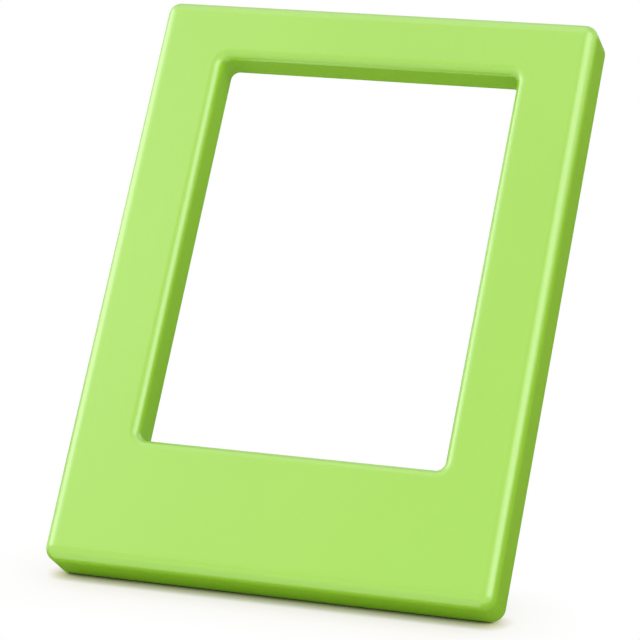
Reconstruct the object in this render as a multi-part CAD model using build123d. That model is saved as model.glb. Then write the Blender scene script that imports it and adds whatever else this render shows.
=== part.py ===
from build123d import *
import math
import os

os.makedirs("parts", exist_ok=True)

# Plate frame used below: x to the right, y from the front face to the back, z up the plate.
# Sizes are millimetres, angles are degrees.

# Print and the bands of the plate around its window
PRINT_W = 50.0
PRINT_LAP = 2.1
SIDE_BAND = 10.6
WINDOW_H = 61.0
SILL = 19.1
TOP_BAND = 9.0
WINDOW_R = 1.3
WINDOW_ROUND = 1.4

# Plate thickness, edges and how it stands
THICK = 7.5
LEAN = 35.8
FRONT_ROUND = 1.9
CORNER_FLAT = 0.1
REAR_ROUND = 0.4

# Moulded walls
FRONT_WALL = 1.6
SIDE_WALL = 1.5
LEDGE = 0.5
WINDOW_WALL = 1.4
INNER_R = 0.6

# Back cover and the space for the print
COVER_THICK = 2.2
COVER_GAP = 0.15
PRINT_SIDE_GAP = 0.25
PRINT_DEPTH = 0.9
LIP = 1.0
THUMB_R = 4.0
COVER_ROUND = 0.2

# Folding leg and its hinge
LEG_THICK = 1.0
LEG_HALF_W = 17.5
LEG_TIP_HALF_W = 13.0
LEG_SHOULDER = 6.0
LEG_REACH = 36.0
LEG_CORNER_R = 3.0
FOOT_LEN = 4.0
NAIL_R = 3.5
LEG_ROUND = 0.25
LEG_GAP = 0.4
BARREL_CLEAR = 1.2
STOP_GAP = 0.15
STOP_THICK = 0.6
PIN_D = 1.6
PIN_SEAT = 3.2
RUN_FIT = 0.02
SEAT_FIT = 0.03
CRADLE_END = 1.0

# Tray of the cover that closes the recess behind the folded leg
TRAY_THICK = 1.0
TRAY_SIDE = 1.2
TRAY_CLEAR = 0.25

# Magnets
MAGNET_D = 5.0
MAGNET_L = 3.0
MAGNET_DROP = 13.0
MAGNET_EDGE = 2.7
MAGNET_ROUND = 0.2
POST_D = 4.2

# Cover screws
SCREW_D = 1.6
SCREW_LEN = 4.5
SCREW_HEAD_D = 3.2
SCREW_SUNK = 0.1
SCREW_CLEAR = 0.2
SCREW_EDGE = 4.8
RECESS_W = 0.45
RECESS_L = 1.8
RECESS_DEEP = 0.5
BOSS_D = 4.4
TIP_CLEAR = 0.2

# Overall plate
WINDOW_W = PRINT_W - 2 * PRINT_LAP
WINDOW_TOP = SILL + WINDOW_H
WIDTH = WINDOW_W + 2 * SIDE_BAND
HEIGHT = WINDOW_TOP + TOP_BAND
CORNER_R = FRONT_ROUND + CORNER_FLAT

# Cover, print and tray: the print slides in between the window wall and the folded leg
COVER_FRONT = THICK - COVER_THICK
PRINT_REAR = THICK - LEG_THICK
WINDOW_REAR = PRINT_REAR - PRINT_DEPTH
COVER_INSET = SIDE_WALL + COVER_GAP
PRINT_HALF = PRINT_W / 2 + PRINT_SIDE_GAP
PRINT_LOW = SILL - PRINT_LAP
OPEN_HALF = PRINT_W / 2 - LIP
SLOT_HALF = LEG_HALF_W + LEG_GAP

# Hinge, seated above the ledge of the bottom wall
BARREL_R = (THICK - FRONT_WALL - BARREL_CLEAR) / 2
HINGE_Y = THICK - BARREL_R
HINGE_Z = SIDE_WALL + LEDGE + LEG_GAP + BARREL_R
CRADLE_TOP = HINGE_Z + BARREL_R + LEG_GAP
CRADLE_INNER = SLOT_HALF + LEG_GAP
PIN_HALF = CRADLE_INNER + PIN_SEAT
TRAY_LOW = CRADLE_TOP + LEG_GAP
TRAY_TOP = PRINT_LOW - TRAY_CLEAR

# Magnets in the side bands beside and below the print, screws at the corners
MAGNET_X = (PRINT_HALF + WIDTH / 2 - COVER_INSET) / 2
MAGNET_UPPER = HEIGHT - MAGNET_DROP
MAGNET_LOWER = PRINT_LOW - MAGNET_EDGE - MAGNET_D / 2
SCREW_X = WIDTH / 2 - SCREW_EDGE
SCREW_UPPER = HEIGHT - SCREW_EDGE
SCREW_LOWER = SCREW_EDGE
SCREW_TOP = THICK - SCREW_SUNK
SCREW_TIP = SCREW_TOP - SCREW_LEN

# The plate leans back about its rear bottom edge, the origin is under the middle of the plate
SIN_L = math.sin(math.radians(LEAN))
COS_L = math.cos(math.radians(LEAN))
EDGE_TRIM = SIN_L + COS_L - 1
LIFT = THICK * SIN_L - REAR_ROUND * EDGE_TRIM
Y_NEAR = FRONT_ROUND * EDGE_TRIM
Y_FAR = THICK * COS_L + HEIGHT * SIN_L - REAR_ROUND * EDGE_TRIM
PLACE = Pos(0, -(Y_NEAR + Y_FAR) / 2, LIFT) * Rot(X=-LEAN)

# The open leg slopes down until its foot lies on the floor
HINGE_H = LIFT + HINGE_Z * COS_L - HINGE_Y * SIN_L
FOOT_AT = LEG_REACH - FOOT_LEN
SLOPE = math.asin(HINGE_H / math.hypot(BARREL_R, FOOT_AT)) - math.atan2(BARREL_R, FOOT_AT)
OPEN = math.pi / 2 - math.radians(LEAN) + SLOPE


def slab(outline, y_front, y_rear):
    """Extrude an outline drawn on the face of the plate from y_front back to y_rear."""
    return extrude(Plane.XZ.offset(-y_front) * outline, amount=y_front - y_rear)


def disc(x, z, diameter, y_front, y_rear):
    """Round bar square to the plate."""
    return slab(Pos(x, z) * Circle(diameter / 2), y_front, y_rear)


def block(x0, x1, y0, y1, z0, z1):
    """Box between two corners."""
    return Pos((x0 + x1) / 2, (y0 + y1) / 2, (z0 + z1) / 2) * Box(x1 - x0, y1 - y0, z1 - z0)


def bar_x(half_length, radius):
    """Round bar along the hinge axis."""
    return Pos(0, HINGE_Y, HINGE_Z) * Rot(Y=90) * Cylinder(radius, 2 * half_length)


def prism_x(points, half_w):
    """Section drawn in (y, z), extruded to both sides of the middle."""
    face = Plane.YZ * make_face(Polyline(points, close=True))
    return extrude(face, amount=half_w, both=True)


def plate_outline(inset, corner):
    """Outline of the plate drawn in by an inset."""
    return Pos(0, HEIGHT / 2) * RectangleRounded(WIDTH - 2 * inset, HEIGHT - 2 * inset, corner)


def window_outline(grow):
    """Outline of the window, grown by a wall."""
    middle = SILL + WINDOW_H / 2
    return Pos(0, middle) * RectangleRounded(WINDOW_W + 2 * grow, WINDOW_H + 2 * grow, WINDOW_R + grow)


def both_sides(x, heights):
    """Spots at left and right of the middle, at each height."""
    return [(side * x, z) for z in heights for side in (-1, 1)]


MAGNET_SPOTS = both_sides(MAGNET_X, (MAGNET_UPPER, MAGNET_LOWER))
SCREW_SPOTS = both_sides(SCREW_X, (SCREW_UPPER, SCREW_LOWER))


# Front frame: the visible bezel, a shell open at the back
def front_shell():
    body = slab(plate_outline(0, CORNER_R), 0, THICK)
    body = fillet(body.faces().sort_by(Axis.Y)[0].edges(), FRONT_ROUND)
    body = fillet(body.faces().sort_by(Axis.Y)[-1].edges(), REAR_ROUND)
    body -= slab(window_outline(0), -1, THICK + 1)
    body = fillet(body.faces().sort_by(Axis.Y)[0].inner_wires()[0].edges(), WINDOW_ROUND)
    hollow = plate_outline(SIDE_WALL + LEDGE, INNER_R) - window_outline(WINDOW_WALL)
    body -= slab(hollow, FRONT_WALL, COVER_FRONT)
    cover_space = plate_outline(SIDE_WALL, INNER_R)
    body -= slab(cover_space - window_outline(WINDOW_WALL), COVER_FRONT, WINDOW_REAR)
    body -= slab(cover_space, WINDOW_REAR, THICK + 1)
    return body


def stop_lip():
    """Lip on the bottom wall that the open leg comes to rest against."""
    sin_o = math.sin(OPEN)
    cos_o = math.cos(OPEN)
    top_rear = HINGE_Z - (BARREL_R * (1 - cos_o) + STOP_GAP) / sin_o
    top_front = top_rear - STOP_THICK * cos_o / sin_o
    top_back = top_rear - REAR_ROUND / 2 * cos_o / sin_o
    y_front = THICK - STOP_THICK
    y_rear = THICK - REAR_ROUND / 2
    low = SIDE_WALL / 2
    points = [(y_front, low), (y_rear, low), (y_rear, top_back), (y_front, top_front)]
    return prism_x(points, LEG_HALF_W - LEG_GAP)


def pin_cradles():
    """Blocks on the front and bottom walls that hold the ends of the pin in blind grooves."""
    groove_half = PIN_HALF + SEAT_FIT
    groove_r = PIN_D / 2 + SEAT_FIT
    outer = groove_half + CRADLE_END
    blocks = block(-outer, outer, FRONT_WALL / 2, COVER_FRONT, SIDE_WALL, CRADLE_TOP)
    blocks -= block(-CRADLE_INNER, CRADLE_INNER, 0, THICK, 0, HEIGHT)
    blocks -= bar_x(groove_half, groove_r)
    blocks -= block(-groove_half, groove_half, HINGE_Y, THICK, HINGE_Z - groove_r, HINGE_Z + groove_r)
    return blocks


def front_frame():
    body = front_shell() + stop_lip() + pin_cradles()
    for x, z in MAGNET_SPOTS:
        body += disc(x, z, POST_D, FRONT_WALL / 2, THICK - MAGNET_L)
    for x, z in SCREW_SPOTS:
        body += disc(x, z, BOSS_D, FRONT_WALL / 2, COVER_FRONT)
        body -= disc(x, z, SCREW_D + 2 * SEAT_FIT, SCREW_TIP - TIP_CLEAR, THICK)
    loading_notch = block(-PRINT_HALF, PRINT_HALF, WINDOW_REAR, THICK + 1, WINDOW_TOP, HEIGHT + 1)
    return body - loading_notch


# Back cover: inset plate with an open middle, a tray behind the leg and a recess for the print
def cover_plate():
    plate = slab(plate_outline(COVER_INSET, INNER_R), COVER_FRONT, THICK)
    open_low = PRINT_LOW + LIP
    open_top = WINDOW_TOP + LIP
    open_middle = (open_low + open_top) / 2
    opening = Pos(0, open_middle) * RectangleRounded(2 * OPEN_HALF, open_top - open_low, WINDOW_R)
    plate -= slab(opening, 0, THICK + 1)
    plate -= block(-SLOT_HALF, SLOT_HALF, 0, THICK + 1, 0, open_low + WINDOW_R)
    plate -= block(-PRINT_HALF, PRINT_HALF, 0, PRINT_REAR, PRINT_LOW, HEIGHT)
    plate -= disc(0, HEIGHT - COVER_INSET, 2 * THUMB_R, 0, THICK + 1)
    return fillet(plate.faces().sort_by(Axis.Y)[-1].edges(), COVER_ROUND)


def leg_tray():
    """Floor behind the folded leg, joined to the plate by a wall at each side."""
    rear = PRINT_REAR - LEG_GAP
    half = SLOT_HALF + TRAY_SIDE
    tray = block(-half, half, rear - TRAY_THICK, (COVER_FRONT + THICK) / 2, TRAY_LOW, TRAY_TOP)
    return tray - block(-SLOT_HALF, SLOT_HALF, rear, THICK, 0, HEIGHT)


def back_cover():
    cover = cover_plate() + leg_tray()
    for x, z in MAGNET_SPOTS:
        cover -= disc(x, z, MAGNET_D + 2 * SEAT_FIT, 0, THICK + 1)
    for x, z in SCREW_SPOTS:
        cover -= disc(x, z, SCREW_D + 2 * SCREW_CLEAR, 0, THICK + 1)
        cover -= disc(x, z, SCREW_HEAD_D + 2 * SEAT_FIT, SCREW_TOP, THICK + 1)
        cover -= screw_head(x, z, SEAT_FIT)
    return cover - bar_x(PIN_HALF + SEAT_FIT, PIN_D / 2 + SEAT_FIT)


# Folding leg: flat tongue on a barrel, shown open with its foot on the floor
def leg_outline():
    tip_z = HINGE_Z + LEG_REACH
    shoulder_z = HINGE_Z + LEG_SHOULDER
    points = [
        (-LEG_HALF_W, HINGE_Z),
        (LEG_HALF_W, HINGE_Z),
        (LEG_HALF_W, shoulder_z),
        (LEG_TIP_HALF_W, tip_z),
        (-LEG_TIP_HALF_W, tip_z),
        (-LEG_HALF_W, shoulder_z),
    ]
    shape = make_face(Polyline(points, close=True))
    shape = fillet(shape.vertices().sort_by(Axis.Y)[-2:], LEG_CORNER_R)
    return shape - Pos(0, tip_z) * Circle(NAIL_R)


def folded_leg():
    tongue = slab(leg_outline(), PRINT_REAR, THICK)
    rim = tongue.edges().filter_by(Axis.Y, reverse=True).sort_by(Axis.Z)[2:]
    leg = fillet(rim, LEG_ROUND) + bar_x(LEG_HALF_W, BARREL_R)
    leg -= bar_x(WIDTH, PIN_D / 2 + RUN_FIT)
    foot_z = HINGE_Z + FOOT_AT
    past = 2 * FOOT_LEN
    wedge = [
        (THICK, foot_z),
        (THICK + 1, foot_z),
        (THICK + 1, foot_z + past),
        (THICK - past * math.tan(SLOPE), foot_z + past),
    ]
    return leg - prism_x(wedge, WIDTH)


def stand_leg():
    swing = Pos(0, HINGE_Y, HINGE_Z) * Rot(X=-math.degrees(OPEN)) * Pos(0, -HINGE_Y, -HINGE_Z)
    return swing * folded_leg()


# Hinge pin: steel rod held in the cradles, the leg turns on it
def hinge_pin():
    return bar_x(PIN_HALF, PIN_D / 2)


# Magnet: disc in the cover, level with its back, resting on a post of the frame
def magnet(x, z):
    body = disc(x, z, MAGNET_D, THICK - MAGNET_L, THICK)
    return fillet(body.faces().sort_by(Axis.Y)[-1].edges(), MAGNET_ROUND)


# Cover screw: countersunk head with a cross recess
def screw_head(x, z, grow):
    """Countersunk cone, grown for its seat in the cover."""
    head_r = SCREW_HEAD_D / 2
    drop = head_r - SCREW_D / 2
    return Pos(x, SCREW_TOP - drop / 2, z) * Rot(X=-90) * Cone(SCREW_D / 2 + grow, head_r + grow, drop)


def cover_screw(x, z):
    screw = screw_head(x, z, 0) + disc(x, z, SCREW_D, SCREW_TIP, SCREW_TOP - RECESS_DEEP)
    for size_x, size_z in ((RECESS_L, RECESS_W), (RECESS_W, RECESS_L)):
        screw -= Pos(x, SCREW_TOP, z) * Box(size_x, 2 * RECESS_DEEP, size_z)
    return screw


def save(name, solid):
    placed = PLACE * solid
    placed.label = name
    export_step(placed, f"parts/{name}.step")


save("front_frame", front_frame())
save("back_cover", back_cover())
save("stand_leg", stand_leg())
save("hinge_pin", hinge_pin())
CORNERS = ("upper_left", "upper_right", "lower_left", "lower_right")
for corner, magnet_spot, screw_spot in zip(CORNERS, MAGNET_SPOTS, SCREW_SPOTS):
    save(f"magnet_{corner}", magnet(*magnet_spot))
    save(f"screw_{corner}", cover_screw(*screw_spot))
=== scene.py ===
import math
import bmesh
import bpy
from mathutils import Matrix, Vector

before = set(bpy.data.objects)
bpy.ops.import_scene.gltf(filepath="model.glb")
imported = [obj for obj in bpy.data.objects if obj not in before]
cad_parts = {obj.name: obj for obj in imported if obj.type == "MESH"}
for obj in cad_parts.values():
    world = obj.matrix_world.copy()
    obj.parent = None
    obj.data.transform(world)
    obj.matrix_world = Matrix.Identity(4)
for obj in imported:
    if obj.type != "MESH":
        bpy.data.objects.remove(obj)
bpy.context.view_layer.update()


# Front frame
# The visible bezel is one injection moulding of lime ABS with a smooth semi-gloss skin.
# Its front and window edges are rounded in the mould, and the back is open for the cover.
LIME = (0.295, 0.605, 0.020)
DARK_FLOW = (0.95, 0.96, 0.8)
PALE_FLOW = (1.05, 1.04, 1.2)
FLOW_SCALE = 28.0
GLOSS_SPREAD = 0.02
GRAIN_SCALE = 3200.0
GRAIN_STRENGTH = 0.3
SMOOTH_ROUGHNESS = 0.30
SMOOTH_GRAIN_DEPTH = 0.00001
SMOOTH_IOR = 2.15


def moulded_lime(name, skin_roughness, grain_depth, skin_ior):
    """Lime ABS: faint flow marks in the colour, uneven gloss and a fine moulded grain."""
    material = bpy.data.materials.new(name)
    material.use_nodes = True
    nodes = material.node_tree.nodes
    links = material.node_tree.links
    plastic = nodes["Principled BSDF"]
    plastic.inputs["IOR"].default_value = skin_ior
    place = nodes.new("ShaderNodeTexCoord")

    flow = nodes.new("ShaderNodeTexNoise")
    flow.inputs["Scale"].default_value = FLOW_SCALE
    flow.inputs["Detail"].default_value = 3.0
    links.new(place.outputs["Object"], flow.inputs["Vector"])
    tint = nodes.new("ShaderNodeValToRGB")
    tint.color_ramp.elements[0].color = [lime * share for lime, share in zip(LIME, DARK_FLOW)] + [1]
    tint.color_ramp.elements[1].color = [lime * share for lime, share in zip(LIME, PALE_FLOW)] + [1]
    links.new(flow.outputs["Fac"], tint.inputs["Fac"])
    links.new(tint.outputs["Color"], plastic.inputs["Base Color"])

    gloss = nodes.new("ShaderNodeMapRange")
    gloss.inputs["To Min"].default_value = skin_roughness - GLOSS_SPREAD
    gloss.inputs["To Max"].default_value = skin_roughness + GLOSS_SPREAD
    links.new(flow.outputs["Fac"], gloss.inputs["Value"])
    links.new(gloss.outputs["Result"], plastic.inputs["Roughness"])

    grain = nodes.new("ShaderNodeTexNoise")
    grain.inputs["Scale"].default_value = GRAIN_SCALE
    grain.inputs["Detail"].default_value = 2.0
    links.new(place.outputs["Object"], grain.inputs["Vector"])
    bump = nodes.new("ShaderNodeBump")
    bump.inputs["Strength"].default_value = GRAIN_STRENGTH
    bump.inputs["Distance"].default_value = grain_depth
    links.new(grain.outputs["Fac"], bump.inputs["Height"])
    links.new(bump.outputs["Normal"], plastic.inputs["Normal"])
    return material


def finish_node(node, material):
    """Give a frame node its finish."""
    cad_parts[node].data.materials.clear()
    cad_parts[node].data.materials.append(material)


smooth_lime = moulded_lime("smooth_lime", SMOOTH_ROUGHNESS, SMOOTH_GRAIN_DEPTH, SMOOTH_IOR)
finish_node("front_frame", smooth_lime)


# Back cover
# An inset plate of the same lime ABS with a finely etched back, held by four screws.
# Its open middle shows the back of the print, and the notch at the top lets a thumb push it out.
ETCHED_ROUGHNESS = 0.5
ETCHED_GRAIN_DEPTH = 0.00004
ETCHED_IOR = 1.5
etched_lime = moulded_lime("etched_lime", ETCHED_ROUGHNESS, ETCHED_GRAIN_DEPTH, ETCHED_IOR)
finish_node("back_cover", etched_lime)


# Stand leg
# A thin ABS tongue on a barrel, moulded with the cover's etched finish, so it takes that material.
# It swings out on the hinge pin until it meets the stop lip, and folds flat into the back.
finish_node("stand_leg", etched_lime)


# Hinge pin
# A straight length of drawn steel rod, with its drawing marks along the hinge axis.
# It lies in the frame's cradles, the cover traps it there, and the leg turns on it.
DRAWN_STEEL = (0.56, 0.57, 0.58)
STEEL_ROUGHNESS = 0.34
ALONG_HINGE = (0.05, 1.0, 1.0)
SATIN_METALLIC = 0.6
MARK_SCALE = 1500.0
MARK_SHADE = 0.88
POLISH_SPREAD = 0.15


def satin_metal(name, colour, roughness, stretch):
    """Metal with fine marks along one way, and a satin skin that scatters part of the light."""
    material = bpy.data.materials.new(name)
    material.use_nodes = True
    nodes = material.node_tree.nodes
    links = material.node_tree.links
    metal = nodes["Principled BSDF"]
    metal.inputs["Metallic"].default_value = SATIN_METALLIC
    place = nodes.new("ShaderNodeTexCoord")

    along = nodes.new("ShaderNodeMapping")
    along.inputs["Scale"].default_value = stretch
    links.new(place.outputs["Object"], along.inputs["Vector"])
    marks = nodes.new("ShaderNodeTexNoise")
    marks.inputs["Scale"].default_value = MARK_SCALE
    marks.inputs["Detail"].default_value = 4.0
    links.new(along.outputs["Vector"], marks.inputs["Vector"])
    tint = nodes.new("ShaderNodeValToRGB")
    tint.color_ramp.elements[0].color = [channel * MARK_SHADE for channel in colour] + [1]
    tint.color_ramp.elements[1].color = [*colour, 1]
    links.new(marks.outputs["Fac"], tint.inputs["Fac"])
    links.new(tint.outputs["Color"], metal.inputs["Base Color"])

    polish = nodes.new("ShaderNodeMapRange")
    polish.inputs["To Min"].default_value = roughness * (1 - POLISH_SPREAD)
    polish.inputs["To Max"].default_value = roughness * (1 + POLISH_SPREAD)
    links.new(marks.outputs["Fac"], polish.inputs["Value"])
    links.new(polish.outputs["Result"], metal.inputs["Roughness"])
    return material


finish_node("hinge_pin", satin_metal("drawn_steel", DRAWN_STEEL, STEEL_ROUGHNESS, ALONG_HINGE))


# Magnets
# Four pressed and sintered discs with a satin nickel plating.
# They sit in holes of the cover, level with its back, and rest on posts of the front frame.
CORNERS = ("upper_left", "upper_right", "lower_left", "lower_right")
NICKEL = (0.68, 0.67, 0.64)
NICKEL_ROUGHNESS = 0.36
ALL_WAYS = (1.0, 1.0, 1.0)
nickel_plate = satin_metal("nickel_plate", NICKEL, NICKEL_ROUGHNESS, ALL_WAYS)
for corner in CORNERS:
    finish_node(f"magnet_{corner}", nickel_plate)


# Cover screws
# Four small countersunk steel screws with a cross recess and a thin zinc plating.
# They hold the cover and are turned into bosses of the front frame.
ZINC = (0.60, 0.61, 0.63)
ZINC_ROUGHNESS = 0.34
zinc_plate = satin_metal("zinc_plate", ZINC, ZINC_ROUGHNESS, ALL_WAYS)
for corner in CORNERS:
    finish_node(f"screw_{corner}", zinc_plate)


# Floor
# A wide sheet of white paper. The camera and reflections see it as plain white, and close to the
# frame ambient occlusion paints shade into its colour, tinted lime: a painted dark contact line, and a
# wide soft shadow that is partly painted and partly from the lamps.
FLOOR_HALF = 3.0
FLOOR_DROP = 0.00005
CONTACT_REACH = 0.0021
CONTACT_OPENNESS = 0.12
SHADED_OPENNESS = 0.25
WHITE_FROM = 0.14
SHADOW_REACH = 0.012
SHADOW_DEPTH = 0.38
# PAPER is the paper's own white. SHADED_PAPER and the contact colour are painted shade: a lime-tinted
# shade colour and a dark painted contact shadow.
PAPER = (0.92, 0.92, 0.92, 1)
SHADED_PAPER = (0.80, 0.68, 0.38, 1)
PAINTED_CONTACT_SHADE = (0.04, 0.055, 0.005, 1)
PAPER_ROUGHNESS = 0.9


def seen_by_eye(tree):
    """1 where a camera, glossy or transmission ray arrives, 0 for the light that bounces."""
    rays = tree.nodes.new("ShaderNodeLightPath")
    mirrored = tree.nodes.new("ShaderNodeMath")
    mirrored.operation = "MAXIMUM"
    tree.links.new(rays.outputs["Is Glossy Ray"], mirrored.inputs[0])
    tree.links.new(rays.outputs["Is Transmission Ray"], mirrored.inputs[1])
    seen = tree.nodes.new("ShaderNodeMath")
    seen.operation = "MAXIMUM"
    tree.links.new(rays.outputs["Is Camera Ray"], seen.inputs[0])
    tree.links.new(mirrored.outputs["Value"], seen.inputs[1])
    return seen.outputs["Value"]


floor_mesh = bpy.data.meshes.new("paper_floor")
sheet = bmesh.new()
bmesh.ops.create_grid(sheet, x_segments=1, y_segments=1, size=FLOOR_HALF)
bmesh.ops.translate(sheet, verts=sheet.verts, vec=(0, 0, -FLOOR_DROP))
sheet.to_mesh(floor_mesh)
sheet.free()
floor = bpy.data.objects.new("paper_floor", floor_mesh)
bpy.context.scene.collection.objects.link(floor)

paper = bpy.data.materials.new("white_paper")
paper.use_nodes = True
nodes = paper.node_tree.nodes
links = paper.node_tree.links
seen = seen_by_eye(paper.node_tree)
lit_paper = nodes["Principled BSDF"]
lit_paper.inputs["Roughness"].default_value = PAPER_ROUGHNESS
lit_paper.inputs["Specular IOR Level"].default_value = 0.0
plain_white = nodes.new("ShaderNodeEmission")

openness = nodes.new("ShaderNodeAmbientOcclusion")
openness.inputs["Distance"].default_value = CONTACT_REACH
# Painted shade: this ramp darkens the paper's colour towards the dark contact colour where ambient
# occlusion finds the frame close.
painted_shade_ramp = nodes.new("ShaderNodeValToRGB")
painted_shade_ramp.color_ramp.elements[0].position = CONTACT_OPENNESS
painted_shade_ramp.color_ramp.elements[0].color = PAINTED_CONTACT_SHADE
painted_shade_ramp.color_ramp.elements[1].position = SHADED_OPENNESS
painted_shade_ramp.color_ramp.elements[1].color = SHADED_PAPER
links.new(openness.outputs["AO"], painted_shade_ramp.inputs["Fac"])
shade = nodes.new("ShaderNodeMixRGB")
shade.inputs["Color1"].default_value = PAPER
links.new(seen, shade.inputs["Fac"])
links.new(painted_shade_ramp.outputs["Color"], shade.inputs["Color2"])
links.new(shade.outputs["Color"], lit_paper.inputs["Base Color"])

# Painted shadow: near the frame the plain white gives way to the tinted, darkened paper, as far as
# ambient occlusion reaches.
near_shadow = nodes.new("ShaderNodeMapRange")
near_shadow.inputs["From Min"].default_value = WHITE_FROM
links.new(openness.outputs["AO"], near_shadow.inputs["Value"])
around = nodes.new("ShaderNodeAmbientOcclusion")
around.inputs["Distance"].default_value = SHADOW_REACH
wide_shadow = nodes.new("ShaderNodeMapRange")
wide_shadow.inputs["To Min"].default_value = 1.0 - SHADOW_DEPTH
links.new(around.outputs["AO"], wide_shadow.inputs["Value"])
both_shadows = nodes.new("ShaderNodeMath")
both_shadows.operation = "MULTIPLY"
links.new(near_shadow.outputs["Result"], both_shadows.inputs[0])
links.new(wide_shadow.outputs["Result"], both_shadows.inputs[1])

clear_of_frame = nodes.new("ShaderNodeMath")
clear_of_frame.operation = "MULTIPLY"
links.new(seen, clear_of_frame.inputs[0])
links.new(both_shadows.outputs["Value"], clear_of_frame.inputs[1])
whiten = nodes.new("ShaderNodeMixShader")
links.new(clear_of_frame.outputs["Value"], whiten.inputs["Fac"])
links.new(lit_paper.outputs["BSDF"], whiten.inputs[1])
links.new(plain_white.outputs["Emission"], whiten.inputs[2])
links.new(whiten.outputs["Shader"], nodes["Material Output"].inputs["Surface"])
floor_mesh.materials.append(paper)


# Painted dark reflections
# Thin black sheets that lie on the floor at the right, behind and under the front edge of the frame,
# and one that stands far to the right. Only reflections see them: they paint dark reflections into the
# walls instead of the white floor.
DARK_REFLECTION_BLACK = (0.02, 0.02, 0.02, 1)
DARK_SHEET_THICK = 0.00008
DARK_REFLECTION_SHEETS = {
    "right": ((0.2155, 0.3675, 0), (0.369, 0.805, DARK_SHEET_THICK)),
    "behind": ((-0.0845, 0.4, 0), (0.231, 0.74, DARK_SHEET_THICK)),
    "under the front edge": ((-0.0145, -0.026, 0), (0.091, 0.008, DARK_SHEET_THICK)),
    "standing": ((0.35, 0.32, 0.055), (0.001, 0.70, 0.11)),
}
dark_reflection_mesh = bpy.data.meshes.new("painted_dark_reflection")
sheet = bmesh.new()
for centre, size in DARK_REFLECTION_SHEETS.values():
    bmesh.ops.create_cube(sheet, size=1.0, matrix=Matrix.LocRotScale(centre, None, size))
sheet.to_mesh(dark_reflection_mesh)
sheet.free()
dark_reflector = bpy.data.objects.new("painted_dark_reflection", dark_reflection_mesh)
bpy.context.scene.collection.objects.link(dark_reflector)
# Seen only in reflections: these sheets paint dark reflections. They are not shade that the lamps
# cast.
dark_reflector.visible_camera = False
dark_reflector.visible_diffuse = False
dark_reflector.visible_shadow = False

painted_dark_reflection = bpy.data.materials.new("painted_dark_reflection")
painted_dark_reflection.use_nodes = True
dull_black = painted_dark_reflection.node_tree.nodes["Principled BSDF"]
dull_black.inputs["Base Color"].default_value = DARK_REFLECTION_BLACK
dull_black.inputs["Roughness"].default_value = 1.0
dark_reflection_mesh.materials.append(painted_dark_reflection)


# Studio light
# A white room with a softbox above, one at the right for the bright right edges, one at the left with
# a veil beside it for the left edges, and two low fills that the glossy skin doesn't mirror.
MIDDLE = Vector((0, 0, 0.037))
LAMP_DISTANCE = 0.7
ROOM_LIGHT = 0.325


def softbox(name, toward, width, height, radiance):
    """Area lamp of a given brightness that faces the middle of the frame."""
    lamp = bpy.data.lights.new(name, "AREA")
    lamp.shape = "RECTANGLE"
    lamp.size = width
    lamp.size_y = height
    lamp.energy = radiance * math.pi * width * height
    holder = bpy.data.objects.new(name, lamp)
    direction = Vector(toward).normalized()
    holder.location = MIDDLE + direction * LAMP_DISTANCE
    holder.rotation_euler = direction.to_track_quat("Z", "Y").to_euler()
    bpy.context.scene.collection.objects.link(holder)
    return holder


softbox("top_softbox", (-0.20, 0.15, 0.97), width=0.70, height=0.70, radiance=0.60)
softbox("right_softbox", (0.71, -0.29, 0.64), width=0.50, height=0.70, radiance=1.55)
right_fill = softbox("right_fill", (0.93, -0.15, 0.30), width=0.40, height=0.40, radiance=2.15)
right_fill.visible_glossy = False
softbox("left_softbox", (-0.89, 0.0, 0.43), width=0.60, height=0.40, radiance=2.0)
softbox("left_veil", (-0.65, -0.41, 0.64), width=0.42, height=0.42, radiance=0.8)
front_fill = softbox("front_fill", (-0.28, -0.95, 0.07), width=0.90, height=0.14, radiance=5.1)
front_fill.visible_glossy = False

room = bpy.data.worlds.new("room")
room.use_nodes = True
bpy.context.scene.world = room
room.cycles.sampling_method = "NONE"
walls = room.node_tree.nodes["Background"]
walls.inputs["Color"].default_value = (1, 1, 1, 1)
level = room.node_tree.nodes.new("ShaderNodeMapRange")
level.inputs["To Min"].default_value = ROOM_LIGHT
room.node_tree.links.new(seen_by_eye(room.node_tree), level.inputs["Value"])
room.node_tree.links.new(level.outputs["Result"], walls.inputs["Strength"])


# Camera
# A long lens, a little to the right of the frame and above it. It is placed from the line where the
# planes of the face and the bottom wall meet, and colours go to the picture as they are.
AZIMUTH = math.radians(19.017)
ELEVATION = math.radians(14.801)
DISTANCE = 0.436199
AIM_RIGHT = 0.008294
AIM_UP = 0.036427
LENS = 176.326
SENSOR = 36.0
NEAREST = 0.01
BOTTOM_EDGE = Vector((0, -0.029398, 0.004229))
back = Vector((
    math.sin(AZIMUTH) * math.cos(ELEVATION),
    -math.cos(AZIMUTH) * math.cos(ELEVATION),
    math.sin(ELEVATION),
))
right = Vector((math.cos(AZIMUTH), math.sin(AZIMUTH), 0))
up = back.cross(right)
lens = bpy.data.cameras.new("photo_camera")
lens.lens = LENS
lens.sensor_width = SENSOR
lens.clip_start = NEAREST
camera = bpy.data.objects.new("photo_camera", lens)
stand_point = BOTTOM_EDGE + right * AIM_RIGHT + up * AIM_UP + back * DISTANCE
camera.matrix_world = Matrix.Translation(stand_point) @ Matrix((right, up, back)).transposed().to_4x4()
bpy.context.scene.collection.objects.link(camera)
bpy.context.scene.camera = camera
bpy.context.scene.view_settings.view_transform = "Standard"
